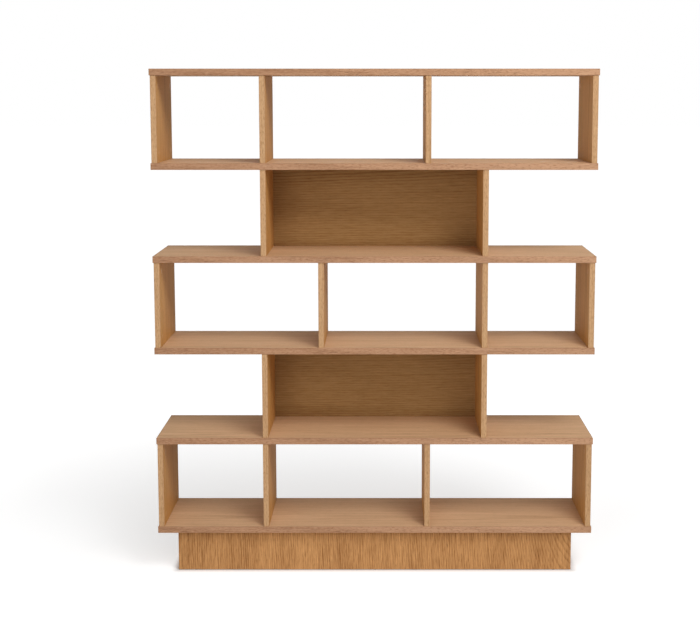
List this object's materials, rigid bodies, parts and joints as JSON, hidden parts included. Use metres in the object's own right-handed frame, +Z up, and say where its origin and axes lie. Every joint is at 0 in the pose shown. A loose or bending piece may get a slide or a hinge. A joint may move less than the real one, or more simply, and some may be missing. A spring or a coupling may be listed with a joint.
{
  "type": "open shelving unit",
  "caption": "Tall oak shelving unit whose full-width shelves are stacked on alternating wide and narrow tiers of uprights, on a set-in plinth.",
  "frame": {"origin": "on the floor under the middle of the unit", "axes": "+X to the right seen from the front, +Y towards the back, +Z up"},
  "size_m": [1.49, 0.34, 1.724],
  "materials": {
    "oak_shelf_veneer": "oak veneer, grain along the shelf, satin lacquer",
    "oak_shelf_lipping": "solid oak strip, grain along the edge, satin lacquer",
    "oak_upright_veneer": "oak veneer, upright grain, satin lacquer",
    "oak_upright_lipping": "solid oak strip, upright grain, satin lacquer",
    "oak_panel_veneer": "oak veneer, level grain, satin lacquer",
    "oak_plinth_veneer": "oak veneer, upright grain, satin lacquer",
    "plain_board": "unfinished particle board",
    "softwood": "planed softwood",
    "beech": "plain beech",
    "plated_steel": "zinc plated",
    "die_cast_zinc": "bare die-cast",
    "cover_plastic": "oak-coloured, matt",
    "glide_plastic": "dark, matt"
  },
  "bodies": {
    "root": {"bottom_shelf": "oak_shelf_veneer", "bottom_shelf_lipping": "oak_shelf_lipping", "fifth_shelf": "oak_shelf_veneer", "fifth_shelf_lipping": "oak_shelf_lipping", "fourth_shelf": "oak_shelf_veneer", "fourth_shelf_lipping": "oak_shelf_lipping", "third_shelf": "oak_shelf_veneer", "third_shelf_lipping": "oak_shelf_lipping", "second_shelf": "oak_shelf_veneer", "second_shelf_lipping": "oak_shelf_lipping", "top_shelf": "oak_shelf_veneer", "top_shelf_lipping": "oak_shelf_lipping", "bottom_tier_left_end": "oak_upright_veneer", "bottom_tier_left_divider": "oak_upright_veneer", "bottom_tier_right_divider": "oak_upright_veneer", "bottom_tier_right_end": "oak_upright_veneer", "bottom_tier_lipping": "oak_upright_lipping", "lower_narrow_tier_left_upright": "oak_upright_veneer", "lower_narrow_tier_right_upright": "oak_upright_veneer", "lower_narrow_tier_lipping": "oak_upright_lipping", "lower_narrow_tier_back_panel": "oak_panel_veneer", "middle_tier_left_end": "oak_upright_veneer", "middle_tier_left_divider": "oak_upright_veneer", "middle_tier_right_divider": "oak_upright_veneer", "middle_tier_right_end": "oak_upright_veneer", "middle_tier_lipping": "oak_upright_lipping", "upper_narrow_tier_left_upright": "oak_upright_veneer", "upper_narrow_tier_right_upright": "oak_upright_veneer", "upper_narrow_tier_lipping": "oak_upright_lipping", "upper_narrow_tier_back_panel": "oak_panel_veneer", "top_tier_left_end": "oak_upright_veneer", "top_tier_left_divider": "oak_upright_veneer", "top_tier_right_divider": "oak_upright_veneer", "top_tier_right_end": "oak_upright_veneer", "top_tier_lipping": "oak_upright_lipping", "plinth_front": "oak_plinth_veneer", "plinth_rear": "oak_plinth_veneer", "plinth_left_side": "oak_plinth_veneer", "plinth_right_side": "oak_plinth_veneer", "plinth_brace": "plain_board", "plinth_corner_blocks": "softwood", "plinth_block_screws": "plated_steel", "floor_glides": "glide_plastic", "cam_discs": "die_cast_zinc", "cam_bolts": "plated_steel", "cam_covers": "cover_plastic", "dowels": "beech"}
  },
  "joints": []
}
